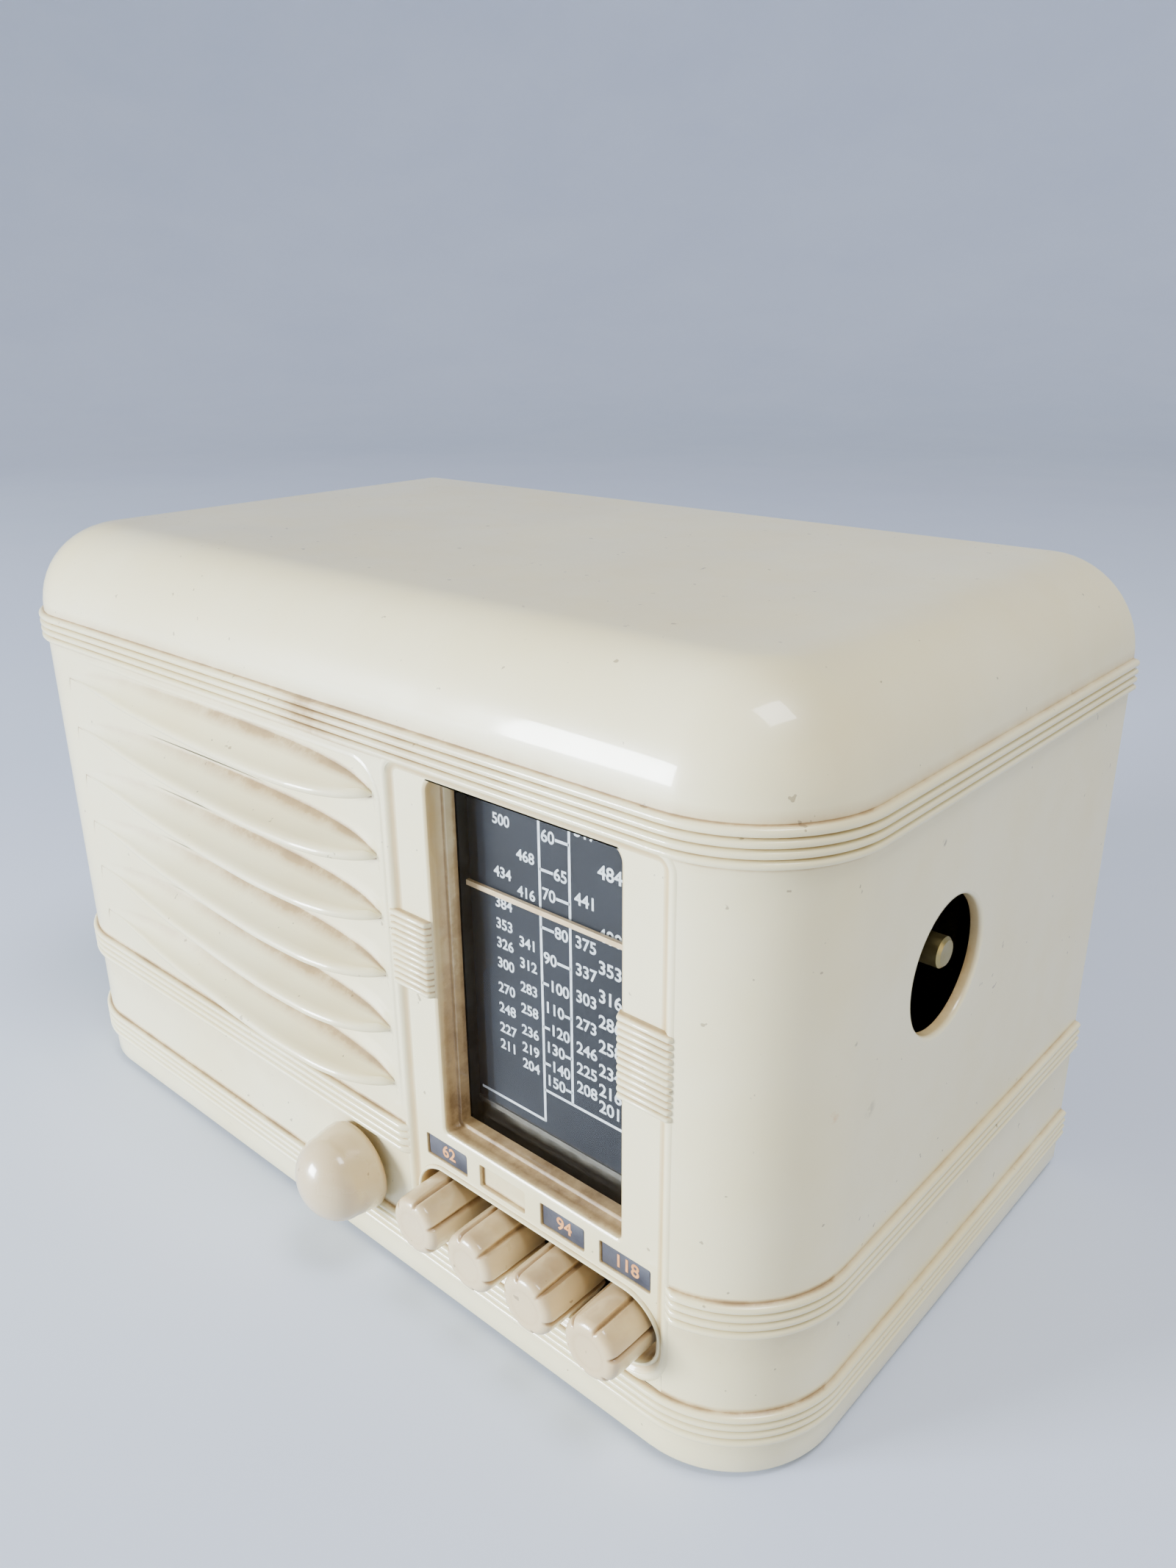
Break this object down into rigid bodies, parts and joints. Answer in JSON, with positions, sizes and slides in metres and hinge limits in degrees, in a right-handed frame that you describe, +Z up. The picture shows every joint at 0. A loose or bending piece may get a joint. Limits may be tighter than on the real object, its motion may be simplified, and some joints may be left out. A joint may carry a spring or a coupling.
{
  "type": "push-button table radio",
  "caption": "Small ivory table-top valve radio with a louvred grille, tall dial window, push-buttons and a bullet-shaped volume knob.",
  "frame": {"origin": "middle of the underside of the whole object, level with the feet's undersides", "axes": "+X to the right as seen from the front, -Y out of the front, +Z up"},
  "size_m": [0.2528, 0.153, 0.158],
  "materials": {
    "ivory_plastic": "moulded ivory plastic, glossy with age dirt in the grooves",
    "pointer_paint": "cream painted strip",
    "clear_window": "clear glossy sheet",
    "dial_black": "black enamel with pale print",
    "label_slate": "dark slate card with orange numbers",
    "plated_steel": "dull plated steel",
    "bright_aluminium": "soft aluminium",
    "chassis_plate": "grey plated chassis",
    "dark_wheel": "dark moulded wheel",
    "speaker_steel": "dark enamel",
    "speaker_paper": "black paper cone",
    "transformer_iron": "laminated iron and waxed coil",
    "dark_bakelite": "dark phenolic",
    "bulb_glass": "clear glass with a silvered patch",
    "fibreboard": "pressed brown fibreboard",
    "dark_rubber": "aged black rubber",
    "waxed_cord": "waxed drive string"
  },
  "bodies": {
    "cabinet": {"cabinet_shell": "ivory_plastic", "dial_window": "clear_window", "dial_scale": "dial_black", "label_tabs": "label_slate", "dial_frame": "plated_steel", "tuner_frame": "plated_steel", "volume_nut": "plated_steel", "small_screws": "plated_steel", "chassis_screws": "plated_steel", "condenser_frame": "plated_steel", "return_spring_1": "plated_steel", "return_spring_2": "plated_steel", "return_spring_3": "plated_steel", "return_spring_4": "plated_steel", "condenser_stator": "bright_aluminium", "if_can_1": "bright_aluminium", "if_can_2": "bright_aluminium", "filter_capacitor": "bright_aluminium", "chassis_pan": "chassis_plate", "speaker_basket": "speaker_steel", "speaker_magnet": "speaker_steel", "speaker_cone": "speaker_paper", "output_transformer": "transformer_iron", "tube_sockets": "dark_bakelite", "volume_pot": "dark_bakelite", "rectifier_tube_base": "dark_bakelite", "output_tube_base": "dark_bakelite", "amplifier_tube_base": "dark_bakelite", "detector_tube_base": "dark_bakelite", "converter_tube_base": "dark_bakelite", "dial_lamp": "bulb_glass", "rectifier_tube_bulb": "bulb_glass", "output_tube_bulb": "bulb_glass", "amplifier_tube_bulb": "bulb_glass", "detector_tube_bulb": "bulb_glass", "converter_tube_bulb": "bulb_glass", "back_cover": "fibreboard", "speaker_baffle": "fibreboard", "loop_aerial": "fibreboard", "feet": "dark_rubber", "chassis_cushions": "dark_rubber", "cord_grommet": "dark_rubber", "dial_cord": "waxed_cord"},
    "volume": {"volume_knob": "ivory_plastic", "volume_shaft": "plated_steel"},
    "tuning": {"tuning_shaft": "plated_steel", "dial_drum": "dark_wheel", "condenser_rotor": "bright_aluminium"},
    "pointer": {"dial_pointer": "pointer_paint"},
    "upper_pulley": {"pulley_top": "dark_wheel"},
    "lower_pulley": {"pulley_bottom": "dark_wheel"},
    "rocker": {"treadle": "plated_steel"},
    "button_1": {"push_button_1": "ivory_plastic", "plunger_1": "plated_steel"},
    "button_2": {"push_button_2": "ivory_plastic", "plunger_2": "plated_steel"},
    "button_3": {"push_button_3": "ivory_plastic", "plunger_3": "plated_steel"},
    "button_4": {"push_button_4": "ivory_plastic", "plunger_4": "plated_steel"}
  },
  "joints": [
    {"name": "volume_turn", "type": "hinge", "parent": "cabinet", "child": "volume", "pos_m": [0.014, -0.06005, 0.0255], "axis": [0, 1, 0], "range_deg": [0, 300]},
    {"name": "tuning_turn", "type": "hinge", "parent": "cabinet", "child": "tuning", "pos_m": [0.1035, -0.00355, 0.0965], "axis": [1, 0, 0], "range_deg": [-56, 124]},
    {"name": "pointer_slide", "type": "slide", "parent": "cabinet", "child": "pointer", "axis": [0, 0, 1], "range_m": [-0.0496, 0.0224]},
    {"name": "upper_pulley_turn", "type": "hinge", "parent": "cabinet", "child": "upper_pulley", "pos_m": [0.1035, -0.03805, 0.1375], "axis": [1, 0, 0], "range_deg": [-237.6, 526]},
    {"name": "lower_pulley_turn", "type": "hinge", "parent": "cabinet", "child": "lower_pulley", "pos_m": [0.1035, -0.03805, 0.0485], "axis": [1, 0, 0], "range_deg": [-237.6, 526]},
    {"name": "rocker_turn", "type": "hinge", "parent": "cabinet", "child": "rocker", "pos_m": [0.0685, 0.00395, 0.0255], "axis": [1, 0, 0], "range_deg": [-9.34, 20.67]},
    {"name": "button_1_press", "type": "slide", "parent": "cabinet", "child": "button_1", "axis": [0, 1, 0], "range_m": [0, 0.008], "stiffness_N_per_m": 120, "springref_m": -0.004, "deforming": ["return_spring_1"]},
    {"name": "button_2_press", "type": "slide", "parent": "cabinet", "child": "button_2", "axis": [0, 1, 0], "range_m": [0, 0.008], "stiffness_N_per_m": 120, "springref_m": -0.004, "deforming": ["return_spring_2"]},
    {"name": "button_3_press", "type": "slide", "parent": "cabinet", "child": "button_3", "axis": [0, 1, 0], "range_m": [0, 0.008], "stiffness_N_per_m": 120, "springref_m": -0.004, "deforming": ["return_spring_3"]},
    {"name": "button_4_press", "type": "slide", "parent": "cabinet", "child": "button_4", "axis": [0, 1, 0], "range_m": [0, 0.008], "stiffness_N_per_m": 120, "springref_m": -0.004, "deforming": ["return_spring_4"]}
  ],
  "couplings": [
    {"joint": "pointer_slide", "follows": "tuning_turn", "m_per_rad": -0.0229},
    {"joint": "upper_pulley_turn", "follows": "tuning_turn", "ratio": 4.2407},
    {"joint": "lower_pulley_turn", "follows": "tuning_turn", "ratio": 4.2407},
    {"joint": "rocker_turn", "follows": "tuning_turn", "ratio": 0.16667}
  ]
}
